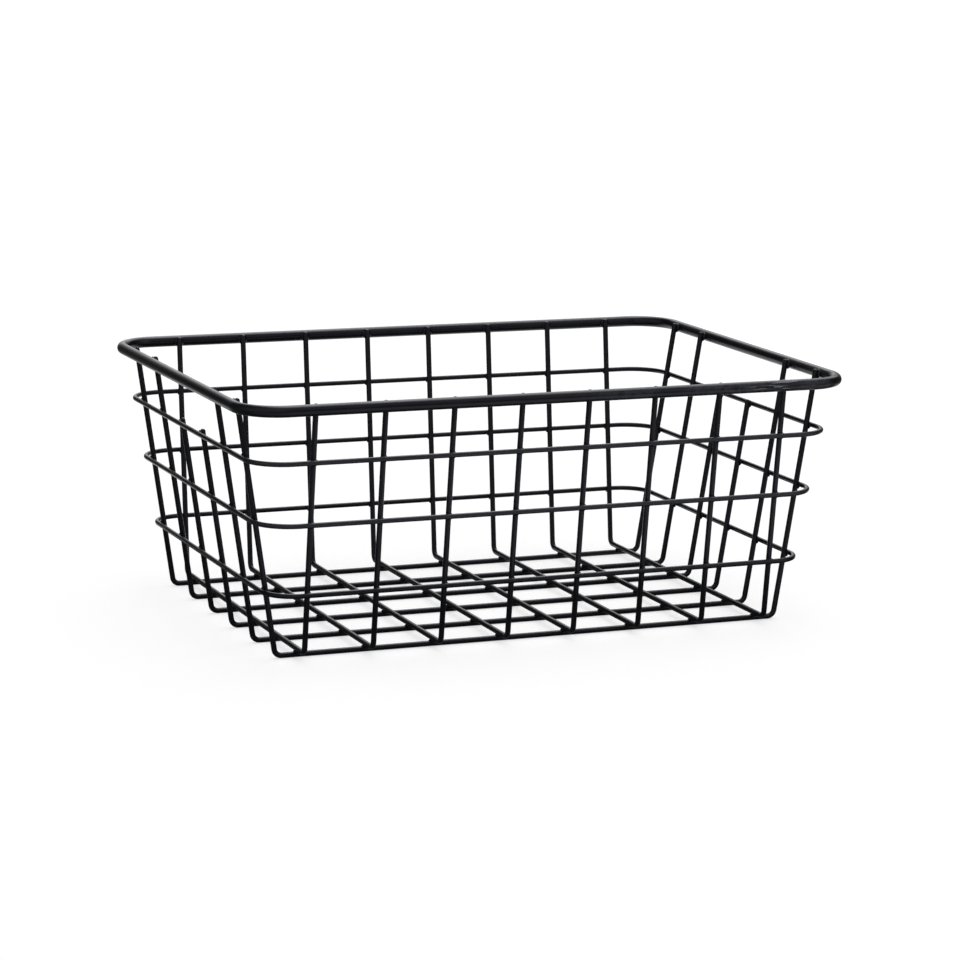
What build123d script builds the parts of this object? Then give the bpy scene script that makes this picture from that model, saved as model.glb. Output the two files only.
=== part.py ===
from build123d import *
import os
from math import asin, atan2, cos, hypot, pi, tan

# An open wire basket that tapers towards its floor. Every piece is steel wire, spot-welded
# where it crosses the next: a thick rim rod, three thin hoops, and U-shaped grid wires that
# run down one wall, across the floor and up the opposite wall. The rim and the hoops lie
# outside the grid wires. Crosswise floor wires lie on the lengthwise ones. The two middle
# lengthwise wires stop at the upper hoop, which leaves a hand hole between that hoop and
# the rim in each end of the basket.
#
# Sizes are in millimetres. +X runs along the basket, +Y towards its back and +Z up.
# The origin is the middle of the footprint, on the surface that the basket stands on.

# Overall sizes, over the outside of the rim
rim_length = 350.0
rim_width = 250.0
height = 140.0

# How far the rim stands out past the foot of the wall, on each side
end_flare = 29.0
side_flare = 23.0

# Wire diameters, with their coating. A wire's section is a circle drawn with narrow flats,
# one of which faces each neighbour, so that crossing wires meet where they are welded.
rim_wire = 6.2
hoop_wire = 2.7
grid_wire = 3.0
wire_flats = 12

# Bends, measured to the middle of the wire. A rim or hoop corner is tighter than this
# where it has to leave straight wire for the outermost grid wires.
rim_corner_radius = 22.0
hoop_corner_radius = 20.0
floor_bend_radius = 4.0

# The grid: how many wires run each way, and how far the outermost lie from the wall's foot
lengthwise_wires = 6
crosswise_wires = 8
edge_gap = 12.0

# The hoops, and the hand holes between the upper hoop and the rim
lower_hoop_height = 37.0
middle_hoop_height = 75.0
hand_hole_height = 24.0
hand_hole_wires = 2

# Cropped wire ends
end_below_rim_top = 0.4
end_above_hoop = 1.2
end_chamfer = 0.4

# Heights of the wires' middles
rim_height = height - rim_wire / 2
upper_hoop_height = height - rim_wire - hand_hole_height - hoop_wire / 2
lengthwise_floor = grid_wire / 2
crosswise_floor = lengthwise_floor + grid_wire

# Where the grid wires end
full_end = height - end_below_rim_top
short_end = upper_hoop_height + hoop_wire / 2 + end_above_hoop


def reach(diameter, turn):
    """From the middle of a wire to its surface, in a direction turned away from the middle of a flat."""
    half_flat = pi / wire_flats
    return diameter / 2 * cos(turn % (2 * half_flat) - half_flat) / cos(half_flat)


class Wall:
    """Two opposite walls, seen end on: a line of wires that leans outwards from the floor to the rim."""

    def __init__(self, foot, floor, rim):
        run, rise = rim - foot, rim_height - floor
        self.foot = foot
        self.floor = floor
        self.outermost = foot - edge_gap
        self.lean = atan2(run, rise)
        for _ in range(4):
            self.lean = atan2(run, rise) - asin(self.seat(rim_wire) / hypot(run, rise))

    def seat(self, diameter):
        """Between the middles of the wall's wires and of a level wire welded across their outside."""
        return grid_wire / 2 + reach(diameter, self.lean)

    def wire(self, z):
        """From the middle of the basket to the middle of the wall's wires, at height z."""
        return self.foot + (z - self.floor) * tan(self.lean)

    def hoop(self, z):
        """From the middle of the basket to the middle of a hoop at height z."""
        return self.wire(z) + self.seat(hoop_wire) / cos(self.lean)


rim_half_length = (rim_length - rim_wire) / 2
rim_half_width = (rim_width - rim_wire) / 2
ends = Wall(rim_length / 2 - end_flare, lengthwise_floor, rim_half_length)
sides = Wall(rim_width / 2 - side_flare, crosswise_floor, rim_half_width)


def rod(path, diameter):
    """Wire that follows a path, with one flat on the outside of its bends."""
    section = RegularPolygon(diameter / 2, wire_flats, major_radius=False, rotation=180 / wire_flats)
    return sweep(Plane(origin=path @ 0, z_dir=path % 0) * section, path=path)


def ring(half_length, half_width, corner_radius, z, diameter):
    """A closed, level rectangle of wire with round corners."""
    room = min(half_length - ends.outermost, half_width - sides.outermost) - grid_wire / 2
    outline = RectangleRounded(2 * half_length, 2 * half_width, min(corner_radius, room))
    return rod(Pos(0, 0, z) * outline.wire(), diameter)


def hoop(z):
    return ring(ends.hoop(z), sides.hoop(z), hoop_corner_radius, z, hoop_wire)


def bent_wire(wall, end, place):
    """A U-shaped grid wire with cropped ends; place(across, z) gives a point of its plane."""
    corners = [
        place(-wall.wire(end), end),
        place(-wall.foot, wall.floor),
        place(wall.foot, wall.floor),
        place(wall.wire(end), end),
    ]
    path = FilletPolyline(*corners, radius=floor_bend_radius)
    wire = rod(path, grid_wire)
    cuts = [wire.faces().sort_by_distance(path @ t)[0] for t in (0, 1)]
    return chamfer([edge for cut in cuts for edge in cut.edges()], end_chamfer)


def spread(count, wall):
    """Evenly spaced places between a wall's two outermost."""
    return [wall.outermost * (2 * i / (count - 1) - 1) for i in range(count)]


wires = {
    "rim": ring(rim_half_length, rim_half_width, rim_corner_radius, rim_height, rim_wire),
    "upper_hoop": hoop(upper_hoop_height),
    "middle_hoop": hoop(middle_hoop_height),
    "lower_hoop": hoop(lower_hoop_height),
}

first_short = (lengthwise_wires - hand_hole_wires) // 2
for i, y in enumerate(spread(lengthwise_wires, sides)):
    short = first_short <= i < first_short + hand_hole_wires
    end = short_end if short else full_end
    wires[f"lengthwise_wire_{i + 1}"] = bent_wire(ends, end, lambda x, z: (x, y, z))

for i, x in enumerate(spread(crosswise_wires, ends)):
    wires[f"crosswise_wire_{i + 1}"] = bent_wire(sides, full_end, lambda y, z: (x, y, z))

os.makedirs("parts", exist_ok=True)
for name, wire in wires.items():
    wire.label = name
    export_step(wire, f"parts/{name}.step")
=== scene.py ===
import bpy
import random
from math import atan2, cos, pi, radians, sin, tan
from mathutils import Matrix, Vector


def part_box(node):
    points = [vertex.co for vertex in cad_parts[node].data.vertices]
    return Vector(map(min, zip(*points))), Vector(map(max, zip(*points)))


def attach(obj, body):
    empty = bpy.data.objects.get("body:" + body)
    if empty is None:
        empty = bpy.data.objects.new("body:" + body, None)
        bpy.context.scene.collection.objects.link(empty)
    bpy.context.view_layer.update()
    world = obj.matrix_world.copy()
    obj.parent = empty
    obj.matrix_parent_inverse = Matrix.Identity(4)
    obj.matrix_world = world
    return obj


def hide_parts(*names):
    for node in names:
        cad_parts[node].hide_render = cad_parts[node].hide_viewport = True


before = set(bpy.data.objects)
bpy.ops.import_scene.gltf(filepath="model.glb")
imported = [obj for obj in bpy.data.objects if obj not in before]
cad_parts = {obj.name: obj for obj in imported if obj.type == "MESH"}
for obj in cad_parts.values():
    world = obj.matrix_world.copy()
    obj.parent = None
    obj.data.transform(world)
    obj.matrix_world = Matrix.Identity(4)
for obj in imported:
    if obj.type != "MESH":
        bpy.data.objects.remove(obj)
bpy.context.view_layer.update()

ringNodes = ("rim", "upper_hoop", "middle_hoop", "lower_hoop")
lengthwiseNodes = [f"lengthwise_wire_{i}" for i in range(1, 7)]
crosswiseNodes = [f"crosswise_wire_{i}" for i in range(1, 9)]


# where the frame says that each wire is, in metres

def wireOf(node):
    low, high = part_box(node)
    low, high = Vector(low), Vector(high)
    return {"low": low, "high": high, "middle": (low + high) / 2}


def ringOf(node):
    ring = wireOf(node)
    ring["thick"] = ring["high"].z - ring["low"].z
    ring["halfLength"] = ring["high"].x - ring["thick"] / 2
    ring["halfWidth"] = ring["high"].y - ring["thick"] / 2
    ring["z"] = ring["middle"].z
    return ring


rings = {node: ringOf(node) for node in ringNodes}
lengthwise = {node: wireOf(node) for node in lengthwiseNodes}
crosswise = {node: wireOf(node) for node in crosswiseNodes}
gridThick = lengthwise["lengthwise_wire_1"]["high"].y - lengthwise["lengthwise_wire_1"]["low"].y


# the walls lean outwards, so the hoops tell how far out a wall's wires are at any height

def wallOf(side, floor):
    upper, lower = rings["upper_hoop"], rings["lower_hoop"]
    lean = atan2(upper[side] - lower[side], upper["z"] - lower["z"])
    seat = (gridThick + lower["thick"]) / 2 / cos(lean)
    return {"lean": lean, "floor": floor, "foot": lower[side] - seat - (lower["z"] - floor) * tan(lean)}


def reachOf(wall, z):
    return wall["foot"] + (z - wall["floor"]) * tan(wall["lean"])


endWall = wallOf("halfLength", gridThick / 2)
sideWall = wallOf("halfWidth", crosswise["crosswise_wire_1"]["low"].z + gridThick / 2)
print("frame read:", len(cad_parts), "wires")


class Value:
    # one shader socket, so that a material can be written as a sum
    def __init__(self, tree, socket):
        self.tree = tree
        self.socket = socket

    def maths(self, operation, *others):
        node = self.tree.nodes.new("ShaderNodeMath")
        node.operation = operation
        for socket, value in zip(node.inputs, (self,) + others):
            feed(self.tree, socket, value)
        return Value(self.tree, node.outputs[0])

    def __add__(self, other):
        return self.maths("ADD", other)

    def __mul__(self, other):
        return self.maths("MULTIPLY", other)

    def __sub__(self, other):
        return self.maths("SUBTRACT", other)

    def __rsub__(self, other):
        return self * -1 + other

    __radd__ = __add__
    __rmul__ = __mul__

    def ramp(self, start, end):
        # 0 at start and 1 at end, with soft shoulders
        settings = {"interpolation_type": "SMOOTHSTEP"}
        limits = {"From_Min": start, "From_Max": end}
        return makeNode(self.tree, "ShaderNodeMapRange", 0, settings, Value=self, **limits)


def feed(tree, socket, value):
    if isinstance(value, Value):
        tree.links.new(value.socket, socket)
    else:
        socket.default_value = value


def makeNode(tree, kind, output=0, settings=None, **inputs):
    # an input called n1 is the node's socket number 1, for nodes that use a socket's name twice
    node = tree.nodes.new(kind)
    for name, value in (settings or {}).items():
        setattr(node, name, value)
    for name, value in inputs.items():
        key = int(name[1:]) if name[1:].isdigit() else name.replace("_", " ")
        feed(tree, node.inputs[key], value)
    return Value(tree, node.outputs[output])


def mixColours(tree, factor, first, second):
    return makeNode(tree, "ShaderNodeMix", 2, {"data_type": "RGBA"}, Factor=factor, n6=first, n7=second)


powderCoat = {
    "black": (0.0022, 0.0024, 0.0038, 1),       # deep black with a cold cast
    "paleBlack": (0.0046, 0.0050, 0.0068, 1),   # where the coat lies thicker
    "sheenAndMottle": (0.020, 0.021, 0.024, 1),          # painted reflection on the front of the hoops, and mottled wear on the rim
    "rubbed": (0.150, 0.154, 0.164, 1),         # scuffs on the rim
    "specular": 0.30,
    "specularTint": (0.86, 0.865, 1.0, 1),
    "roughness": 0.28,
    "roughnessSpread": 0.09,
    "cloudSize": 0.018,                         # sizes and heights are in metres
    "cloudDetail": 3.0,
    "cloudEdge": (0.35, 0.70),
    "peelSize": 0.0011,                         # orange peel of the baked powder
    "peelHeight": 0.00006,
    "grainSize": 0.00028,
    "grainHeight": 0.00001,
    "fineDetail": 2.0,
    "bump": 0.25,
    "sheenFront": (0.085, 0.118),                # the painted reflection starts this far forward of the middle
    "sheenHeight": (0.036, 0.075),               # and this high above the floor
    "sheenLeast": 0.6,
    "sheenClouding": 0.6,
    "handledPlace": (0.105, -0.123, 0.138),     # the end of the front rim that hands rub
    "handledReach": (0.120, 0.040),
    "patchSize": 0.030,
    "patchEdge": (0.36, 0.56),
    "mottleSize": 0.0030,
    "mottleEdge": (0.30, 0.60),
    "scuffPlace": (0.130, -0.1245, 0.1372),     # the worst of the scuffs
    "scuffReach": (0.026, 0.010),
    "scuffSize": 0.0009,
    "scuffDetail": 4.0,
    "scuffStretch": 12,                         # how many times longer than wide a scuff is
    "lengthScuffEdge": (0.54, 0.61),
    "widthScuffEdge": (0.62, 0.76),
    "widthScuffs": 0.5,
    "rubbedRoughness": 0.2,
}
noiseMiddle = 0.5                               # what a noise texture gives on average


def powderCoatMaterial(name, paintedFrontSheen=False, scuffed=False):
    material = bpy.data.materials.new(name)
    material.use_nodes = True
    tree = material.node_tree
    shader = tree.nodes["Principled BSDF"]
    place = makeNode(tree, "ShaderNodeTexCoord", "Object")

    def noise(size, detail=powderCoat["fineDetail"], stretch=(1, 1, 1)):
        spot = makeNode(tree, "ShaderNodeMapping", Vector=place, Scale=stretch)
        return makeNode(tree, "ShaderNodeTexNoise", Vector=spot, Scale=1 / size, Detail=detail)

    def around(middle, reach):
        # 1 near a place and 0 far from it
        settings = {"operation": "DISTANCE"}
        away = makeNode(tree, "ShaderNodeVectorMath", "Value", settings, n0=place, n1=middle)
        return away.ramp(*reach)

    def scuffs(stretch):
        return noise(powderCoat["scuffSize"], powderCoat["scuffDetail"], stretch)

    clouds = noise(powderCoat["cloudSize"], powderCoat["cloudDetail"])
    pale = clouds.ramp(*powderCoat["cloudEdge"])
    colour = mixColours(tree, pale, powderCoat["black"], powderCoat["paleBlack"])
    roughness = (clouds - noiseMiddle) * (2 * powderCoat["roughnessSpread"]) + powderCoat["roughness"]
    # painted reflection: the front of the upper hoops is made paler and clouded, standing in for the
    # floor in front that they mirror
    if paintedFrontSheen:
        front = 0 - makeNode(tree, "ShaderNodeSeparateXYZ", "Y", Vector=place)
        height = makeNode(tree, "ShaderNodeSeparateXYZ", "Z", Vector=place)
        frontSheen = front.ramp(*powderCoat["sheenFront"]) * height.ramp(*powderCoat["sheenHeight"])
        frontSheen = frontSheen * (clouds * powderCoat["sheenClouding"] + powderCoat["sheenLeast"])
        colour = mixColours(tree, frontSheen, colour, powderCoat["sheenAndMottle"])
    if scuffed:
        handled = around(powderCoat["handledPlace"], powderCoat["handledReach"])
        patches = noise(powderCoat["patchSize"]).ramp(*powderCoat["patchEdge"]) * handled
        mottle = noise(powderCoat["mottleSize"], powderCoat["cloudDetail"])
        mottle = mottle.ramp(*powderCoat["mottleEdge"]) * patches
        colour = mixColours(tree, mottle, colour, powderCoat["sheenAndMottle"])
        shrink = 1 / powderCoat["scuffStretch"]
        lengthScuffs = scuffs((shrink, 1, 1)).ramp(*powderCoat["lengthScuffEdge"])
        widthScuffs = scuffs((1, shrink, 1)).ramp(*powderCoat["widthScuffEdge"])
        worn = around(powderCoat["scuffPlace"], powderCoat["scuffReach"])
        rubbed = lengthScuffs * worn + widthScuffs * mottle * powderCoat["widthScuffs"]
        colour = mixColours(tree, rubbed, colour, powderCoat["rubbed"])
        roughness = roughness + rubbed * powderCoat["rubbedRoughness"]
    feed(tree, shader.inputs["Base Color"], colour)
    feed(tree, shader.inputs["Roughness"], roughness)
    shader.inputs["Specular IOR Level"].default_value = powderCoat["specular"]
    shader.inputs["Specular Tint"].default_value = powderCoat["specularTint"]
    peel = noise(powderCoat["peelSize"]) * powderCoat["peelHeight"]
    height = peel + noise(powderCoat["grainSize"]) * powderCoat["grainHeight"]
    bump = makeNode(tree, "ShaderNodeBump", Height=height, Strength=powderCoat["bump"], Distance=1.0)
    feed(tree, shader.inputs["Normal"], bump)
    return material


rimFinish = powderCoatMaterial("rimPowderCoat", scuffed=True)
hoopFinish = powderCoatMaterial("hoopPowderCoat", paintedFrontSheen=True)
wireFinish = powderCoatMaterial("wirePowderCoat")
print("powder coat mixed")


# a rod is a circle of edges that is pushed along straight runs and spun round bends
rodMesh = {"mergeWithin": 0.00001, "roundingSteps": 4, "smoothBelow": radians(40)}


def startRod(sides, thick, place, turn):
    bpy.ops.object.select_all(action="DESELECT")
    bpy.ops.mesh.primitive_circle_add(vertices=sides, radius=thick / 2, location=place, rotation=turn)
    bpy.ops.object.transform_apply(location=True, rotation=True, scale=True)
    bpy.ops.object.mode_set(mode="EDIT")
    bpy.ops.mesh.select_all(action="SELECT")
    return bpy.context.object


def pushRod(step):
    bpy.ops.mesh.extrude_region_move(TRANSFORM_OT_translate={"value": tuple(step)})


def bendRod(centre, axis, angle, steps):
    # spin counts its angle clockwise about the axis
    bpy.ops.mesh.spin(steps=steps, angle=-angle, center=tuple(centre), axis=tuple(axis))


def closeRod(rod, name, endRounding=0.0):
    bpy.ops.mesh.select_all(action="SELECT")
    bpy.ops.mesh.remove_doubles(threshold=rodMesh["mergeWithin"])
    if endRounding:
        # the two ends are capped, and are then the only faces with more than four corners
        bpy.ops.mesh.fill_holes(sides=0)
        bpy.ops.mesh.select_all(action="DESELECT")
        bpy.ops.object.mode_set(mode="OBJECT")
        for face in rod.data.polygons:
            face.select = len(face.vertices) > 4
        bpy.ops.object.mode_set(mode="EDIT")
        bpy.ops.mesh.bevel(offset=endRounding, segments=rodMesh["roundingSteps"], affect="EDGES")
    bpy.ops.mesh.select_all(action="SELECT")
    bpy.ops.mesh.normals_make_consistent(inside=False)
    bpy.ops.object.mode_set(mode="OBJECT")
    bpy.ops.object.shade_smooth_by_angle(angle=rodMesh["smoothBelow"])
    rod.name = rod.data.name = name
    return rod


def finishPiece(piece, material, *nodes):
    piece.data.materials.clear()
    piece.data.materials.append(material)
    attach(piece, "root")
    if nodes:
        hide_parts(*nodes)


rimBends = {"radius": 0.022, "steps": 18, "sides": 40}
hoopBends = {"radius": 0.020, "steps": 14, "sides": 28}


def bentRing(name, node, bends):
    # a corner is tighter where it has to leave straight wire for the outermost grid wires
    ring = rings[node]
    room = min(ring["halfLength"] - crosswise["crosswise_wire_8"]["high"].x,
               ring["halfWidth"] - lengthwise["lengthwise_wire_6"]["high"].y)
    radius = min(bends["radius"], room)
    x, y, z = ring["halfLength"] - radius, ring["halfWidth"] - radius, ring["z"]
    rod = startRod(bends["sides"], ring["thick"], (-x, -ring["halfWidth"], z), (0, pi / 2, 0))
    corners = (((x, -y, z), (2 * x, 0, 0)), ((x, y, z), (0, 2 * y, 0)),
               ((-x, y, z), (-2 * x, 0, 0)), ((-x, -y, z), (0, -2 * y, 0)))
    for corner, run in corners:
        pushRod(run)
        bendRod(corner, (0, 0, 1), pi / 2, bends["steps"])
    return closeRod(rod, name)


def pieceName(node, part):
    # lengthwise_wire_3 becomes lengthwiseWire3
    kind, number = node.split("_")[0], node.split("_")[-1]
    return kind + part + (number if number.isdigit() else "")


for node in ringNodes:
    if node == "rim":
        finishPiece(bentRing("rimRod", node, rimBends), rimFinish, node)
    else:
        finishPiece(bentRing(pieceName(node, "Hoop"), node, hoopBends), hoopFinish, node)
print("rim and hoops bent")


gridBends = {"radius": 0.004, "steps": 8, "sides": 28, "endRounding": 0.0014}


def bentGridWire(wall, end, acrossY):
    # bent in the XZ plane through the origin, or for a crosswise wire in the YZ plane
    radius, lean = gridBends["radius"], wall["lean"]
    setBack = radius * tan((pi / 2 - lean) / 2)
    top, foot = reachOf(wall, end), wall["foot"]
    leg = (end - wall["floor"]) / cos(lean) - setBack
    toPlane = Matrix.Rotation(pi / 2 if acrossY else 0, 3, "Z")
    axis = toPlane @ Vector((0, -1, 0))

    def at(across, z):
        return toPlane @ Vector((across, 0, z))

    tilt = (toPlane.to_4x4() @ Matrix.Rotation(pi - lean, 4, "Y")).to_euler()
    rod = startRod(gridBends["sides"], gridThick, at(-top, end), tilt)
    pushRod(at(sin(lean), -cos(lean)) * leg)
    bendRod(at(-foot + setBack, wall["floor"] + radius), axis, pi / 2 - lean, gridBends["steps"])
    pushRod(at(2 * (foot - setBack), 0))
    bendRod(at(foot - setBack, wall["floor"] + radius), axis, pi / 2 - lean, gridBends["steps"])
    pushRod(at(sin(lean), cos(lean)) * leg)
    return closeRod(rod, "gridWire", gridBends["endRounding"])


def copyTo(piece, name, place):
    twin = piece.copy()
    twin.data = piece.data.copy()
    twin.name = twin.data.name = name
    twin.data.transform(Matrix.Translation(place))
    bpy.context.scene.collection.objects.link(twin)
    return twin


def endOf(wire, wall):
    # a crop leans with its wall, so its upper edge is higher than its middle
    return wire["high"].z - gridThick / 2 * sin(wall["lean"])


models = {
    "long": bentGridWire(endWall, endOf(lengthwise["lengthwise_wire_1"], endWall), False),
    "short": bentGridWire(endWall, endOf(lengthwise["lengthwise_wire_3"], endWall), False),
    "cross": bentGridWire(sideWall, endOf(crosswise["crosswise_wire_1"], sideWall), True),
}
for node, wire in lengthwise.items():
    reachesRim = wire["high"].z > rings["rim"]["low"].z
    model = models["long" if reachesRim else "short"]
    rod = copyTo(model, pieceName(node, "Wire"), (0, wire["middle"].y, 0))
    finishPiece(rod, wireFinish, node)
for node, wire in crosswise.items():
    rod = copyTo(models["cross"], pieceName(node, "Wire"), (wire["middle"].x, 0, 0))
    finishPiece(rod, wireFinish, node)
for model in models.values():
    bpy.data.objects.remove(model)
print("grid wires bent")


spotWeld = {
    "wide": 0.0046,
    "thick": 0.0018,
    "rimScale": 1.35,
    "subdivisions": 2,
    "unevenness": 0.00018,
    "smoothing": 0.3,
    "seed": 7,
}
turns = random.Random(spotWeld["seed"])


def weldPad():
    # the metal squeezed out between two wires, a small flat lump made from a ball 1 across
    bpy.ops.object.select_all(action="DESELECT")
    detail = spotWeld["subdivisions"]
    bpy.ops.mesh.primitive_ico_sphere_add(subdivisions=detail, radius=0.5, location=(0, 0, 0))
    pad = bpy.context.object
    bpy.ops.object.mode_set(mode="EDIT")
    bpy.ops.mesh.select_all(action="SELECT")
    size = (spotWeld["wide"], spotWeld["wide"], spotWeld["thick"])
    bpy.ops.transform.resize(value=size, center_override=(0, 0, 0))
    bpy.ops.transform.vertex_random(offset=spotWeld["unevenness"], seed=spotWeld["seed"])
    bpy.ops.mesh.vertices_smooth(factor=spotWeld["smoothing"])
    bpy.ops.object.mode_set(mode="OBJECT")
    bpy.ops.object.shade_smooth()
    return pad


def placeWelds(name, places, scale=1.0):
    # each place is a point and the way from one wire to the other
    pad = weldPad()
    copies = []
    for point, way in places:
        turn = Matrix.Rotation(turns.uniform(0, pi), 4, "Z")
        tilt = way.to_track_quat("Z", "Y").to_matrix().to_4x4()
        copies.append(copyTo(pad, name, (0, 0, 0)))
        copies[-1].data.transform(Matrix.Translation(point) @ tilt @ turn @ Matrix.Scale(scale, 4))
    bpy.data.objects.remove(pad)
    bpy.ops.object.select_all(action="DESELECT")
    for twin in copies:
        twin.select_set(True)
    bpy.context.view_layer.objects.active = copies[0]
    bpy.ops.object.join()
    welds = bpy.context.object
    welds.name = welds.data.name = name
    finishPiece(welds, wireFinish)


def ringWeldPlaces(node):
    ring = rings[node]
    places = []
    for wall, wires in ((endWall, lengthwise.values()), (sideWall, crosswise.values())):
        for wire in wires:
            if wire["high"].z < ring["low"].z:
                continue
            for side in (-1, 1):
                across, up = side * cos(wall["lean"]), -sin(wall["lean"])
                reach = side * reachOf(wall, ring["z"]) + across * gridThick / 2
                z = ring["z"] + up * gridThick / 2
                if wall is endWall:
                    places.append((Vector((reach, wire["middle"].y, z)), Vector((across, 0, up))))
                else:
                    places.append((Vector((wire["middle"].x, reach, z)), Vector((0, across, up))))
    return places


upwards = Vector((0, 0, 1))
crossings = [Vector((cross["middle"].x, long["middle"].y, gridThick))
             for cross in crosswise.values() for long in lengthwise.values()]
placeWelds("floorWelds", [(point, upwards) for point in crossings])
for node in ringNodes:
    scale = spotWeld["rimScale"] if node == "rim" else 1.0
    placeWelds(pieceName(node, "Welds"), ringWeldPlaces(node), scale)
print("spot welds placed")


white = (1, 1, 1, 1)

studio = {
    "floorSize": 30,
    "floorColour": (0.50, 0.50, 0.50, 1),
    "floorRoughness": 0.9,
    "floorSpecular": 0.1,
    "nearGlow": 0.56,                    # lifts the floor to white where the camera sees it
    "farGlow": 0.61,
    "glowReach": (0.3, 2.5),
    "worldStrength": 0.80,
}

overheadLight = {"place": (0.5, 0.5, 1.6), "target": (0, 0, 0.1), "size": (1.6, 1.2), "power": 6}

# what the wires mirror: a room and lights by direction, and a floor by distance in metres
glows = {
    "backdrop": {"way": (0.36, 0.90, 0.22), "edge": (0.76, 0.97), "strength": 0.16},
    "lamp": {"way": (0.42, 0.66, 0.62), "edge": (0.89, 0.985), "strength": 1.9},
    "skylight": {"way": (0.36, 0.24, 0.90), "edge": (0.89, 0.98), "strength": 4.5},
    "fill": {"way": (0.30, -0.50, 0.81), "edge": (0.72, 0.93), "strength": 0.35},
}
mirrored = {
    "room": 0.035,                       # the dim room all round
    "roomFront": (-0.3, 0.6),            # it is brighter on the camera's side, at both ends
    "leftRoom": 0.50,
    "leftRoomEdge": (0.25, -0.10),
    "rightRoom": 0.90,
    "rightRoomEdge": (0.32, 0.52),
    "horizon": 6.875,                    # how much brighter the backdrop is low down
    "horizonHeight": (0.78, 0.40),
    "horizonLeft": (-0.20, 0.28),
    "horizonRight": (0.48, 0.32),
    "skylightRight": (0.44, 0.37),       # the skylight is cut off on its right
    "floor": 0.10,                       # the floor in the shade of the basket
    "litFloor": 1.2,                     # the floor behind the basket
    "litBehind": (0.08, 0.20),
    "litReach": (0.65, 0.28),
    "frontFloor": 0.42,                  # the floor in front of the basket
    "frontEdge": (0.150, 0.205),
    "frontReach": (1.0, 0.5),
    "rightFloor": 0.50,                  # which is brighter towards its right
    "rightEdge": (-0.10, 0.25),
}


behindWay = Vector(glows["backdrop"]["way"]).xy.normalized().to_3d()


def towards(tree, place, way):
    settings = {"operation": "DOT_PRODUCT"}
    return makeNode(tree, "ShaderNodeVectorMath", "Value", settings, n0=place, n1=way)


def mirroredFloor(tree, place, away):
    behind = towards(tree, place, behindWay)
    lit = behind.ramp(*mirrored["litBehind"]) * away.ramp(*mirrored["litReach"])
    lit = lit * mirrored["litFloor"]
    rightWay = Vector((behindWay.y, -behindWay.x, 0))
    right = towards(tree, place, rightWay).ramp(*mirrored["rightEdge"])
    before = towards(tree, place, Vector((0, -1, 0)))
    front = before.ramp(*mirrored["frontEdge"]) * away.ramp(*mirrored["frontReach"])
    front = front * (right * mirrored["rightFloor"] + mirrored["frontFloor"])
    return lit + front + mirrored["floor"]


def whiteFloor():
    bpy.ops.object.select_all(action="DESELECT")
    bpy.ops.mesh.primitive_plane_add(size=studio["floorSize"], location=(0, 0, 0))
    floor = bpy.context.object
    floor.name = "studioFloor"
    material = bpy.data.materials.new("studioFloor")
    material.use_nodes = True
    tree = material.node_tree
    shader = tree.nodes["Principled BSDF"]
    shader.inputs["Base Color"].default_value = studio["floorColour"]
    shader.inputs["Roughness"].default_value = studio["floorRoughness"]
    shader.inputs["Specular IOR Level"].default_value = studio["floorSpecular"]
    shader.inputs["Emission Color"].default_value = white
    place = makeNode(tree, "ShaderNodeTexCoord", "Object")
    away = makeNode(tree, "ShaderNodeVectorMath", "Value", {"operation": "LENGTH"}, Vector=place)
    seen = makeNode(tree, "ShaderNodeLightPath", "Is Camera Ray")
    reflected = makeNode(tree, "ShaderNodeLightPath", "Is Glossy Ray")
    glow = away.ramp(*studio["glowReach"]) * (studio["farGlow"] - studio["nearGlow"])
    glow = glow + studio["nearGlow"]
    feed(tree, shader.inputs["Emission Strength"], seen * glow)
    plain = Value(tree, shader.outputs[0])
    shown = makeNode(tree, "ShaderNodeEmission", Strength=mirroredFloor(tree, place, away))
    surface = makeNode(tree, "ShaderNodeMixShader", Fac=reflected, n1=plain, n2=shown)
    feed(tree, tree.nodes["Material Output"].inputs["Surface"], surface)
    floor.data.materials.append(material)


def glowFrom(tree, way, glow):
    # a soft round patch of light
    middle = Vector(glow["way"]).normalized()
    return towards(tree, way, middle).ramp(*glow["edge"]) * glow["strength"]


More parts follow.
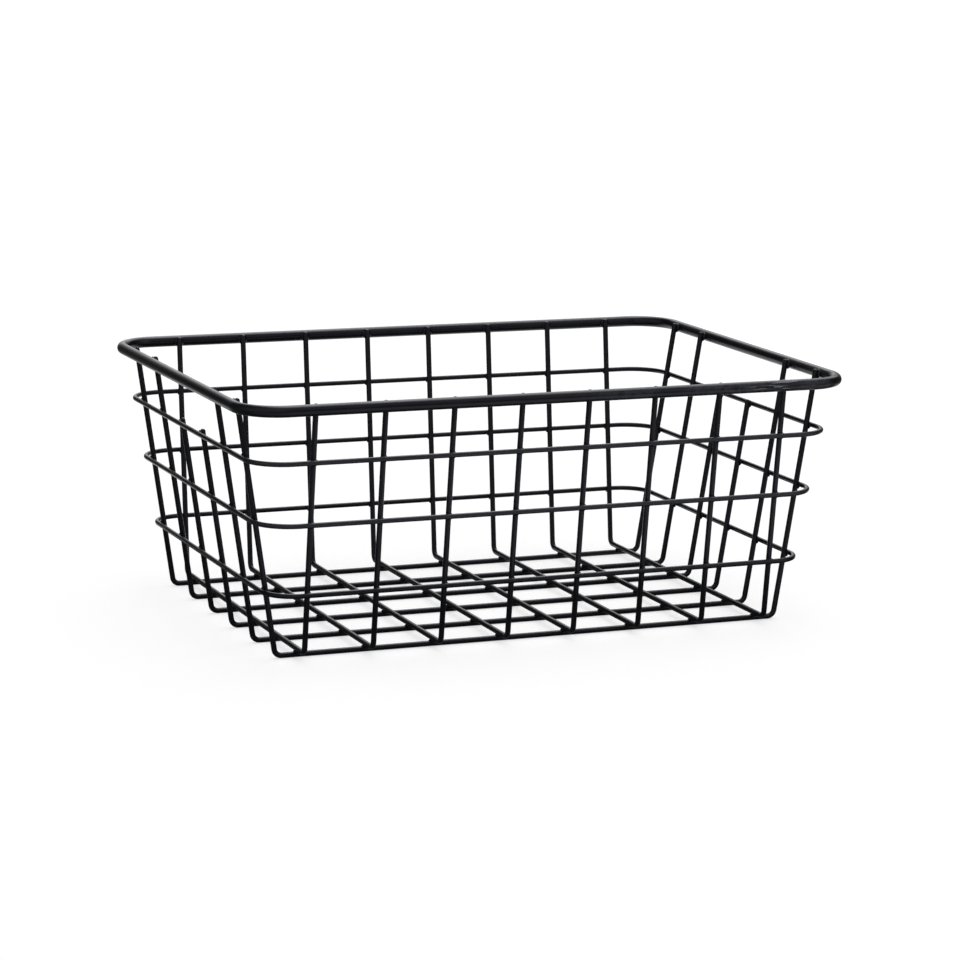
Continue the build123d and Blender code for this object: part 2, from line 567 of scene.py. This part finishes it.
def studioWorld():
    world = bpy.data.worlds.new("studio")
    bpy.context.scene.world = world
    world.use_nodes = True
    tree = world.node_tree
    way = makeNode(tree, "ShaderNodeTexCoord", "Generated")
    across = makeNode(tree, "ShaderNodeSeparateXYZ", "X", Vector=way)
    up = makeNode(tree, "ShaderNodeSeparateXYZ", "Z", Vector=way)
    front = towards(tree, way, -behindWay).ramp(*mirrored["roomFront"])
    leftRoom = across.ramp(*mirrored["leftRoomEdge"]) * mirrored["leftRoom"]
    rightRoom = across.ramp(*mirrored["rightRoomEdge"]) * mirrored["rightRoom"]
    room = front * (leftRoom + rightRoom) + mirrored["room"]
    horizon = across.ramp(*mirrored["horizonLeft"]) * across.ramp(*mirrored["horizonRight"])
    horizon = up.ramp(*mirrored["horizonHeight"]) * horizon * mirrored["horizon"]
    backdrop = glowFrom(tree, way, glows["backdrop"]) * (horizon + 1)
    lamp = glowFrom(tree, way, glows["lamp"])
    skylight = glowFrom(tree, way, glows["skylight"]) * across.ramp(*mirrored["skylightRight"])
    fill = glowFrom(tree, way, glows["fill"])
    mirror = room + backdrop + lamp + skylight + fill
    seen = makeNode(tree, "ShaderNodeLightPath", "Is Camera Ray")
    reflected = makeNode(tree, "ShaderNodeLightPath", "Is Glossy Ray")
    light = (1 - reflected) * studio["worldStrength"] + reflected * mirror
    background = tree.nodes["Background"]
    background.inputs["Color"].default_value = white
    feed(tree, background.inputs["Strength"], (1 - seen) * light + seen)


def softbox(name, place, target, size, power):
    light = bpy.data.lights.new(name, "AREA")
    light.shape = "RECTANGLE"
    light.size, light.size_y = size
    light.energy = power
    box = bpy.data.objects.new(name, light)
    aim = Vector(target) - Vector(place)
    box.matrix_world = Matrix.Translation(place) @ aim.to_track_quat("-Z", "Y").to_matrix().to_4x4()
    bpy.context.scene.collection.objects.link(box)


whiteFloor()
studioWorld()
softbox("overheadSoftbox", **overheadLight)


# where the photograph was taken from, in degrees and metres, and the lens in millimetres
photoCamera = {
    "azimuth": -22.416,
    "elevation": 10.969,
    "roll": 0.952,
    "distance": 1.89276,
    "right": 0.00628,
    "up": 0.06884,
    "lens": 125.677,
    "sensor": 36,
}


def placeCamera():
    turn, rise, roll = (radians(photoCamera[name]) for name in ("azimuth", "elevation", "roll"))
    forward = Vector((-sin(turn) * cos(rise), cos(turn) * cos(rise), -sin(rise)))
    right = forward.cross(Vector((0, 0, 1))).normalized()
    up = right.cross(forward)
    right, up = right * cos(roll) + up * sin(roll), up * cos(roll) - right * sin(roll)
    camera = bpy.data.objects.new("camera", bpy.data.cameras.new("camera"))
    camera.data.lens = photoCamera["lens"]
    camera.data.sensor_width = photoCamera["sensor"]
    camera.data.sensor_fit = "HORIZONTAL"
    place = right * photoCamera["right"] + up * photoCamera["up"] - forward * photoCamera["distance"]
    facing = Matrix((right, up, -forward)).transposed().to_4x4()
    camera.matrix_world = Matrix.Translation(place) @ facing
    bpy.context.scene.collection.objects.link(camera)
    bpy.context.scene.camera = camera


placeCamera()
bpy.context.scene.view_settings.view_transform = "Standard"
print("studio ready")
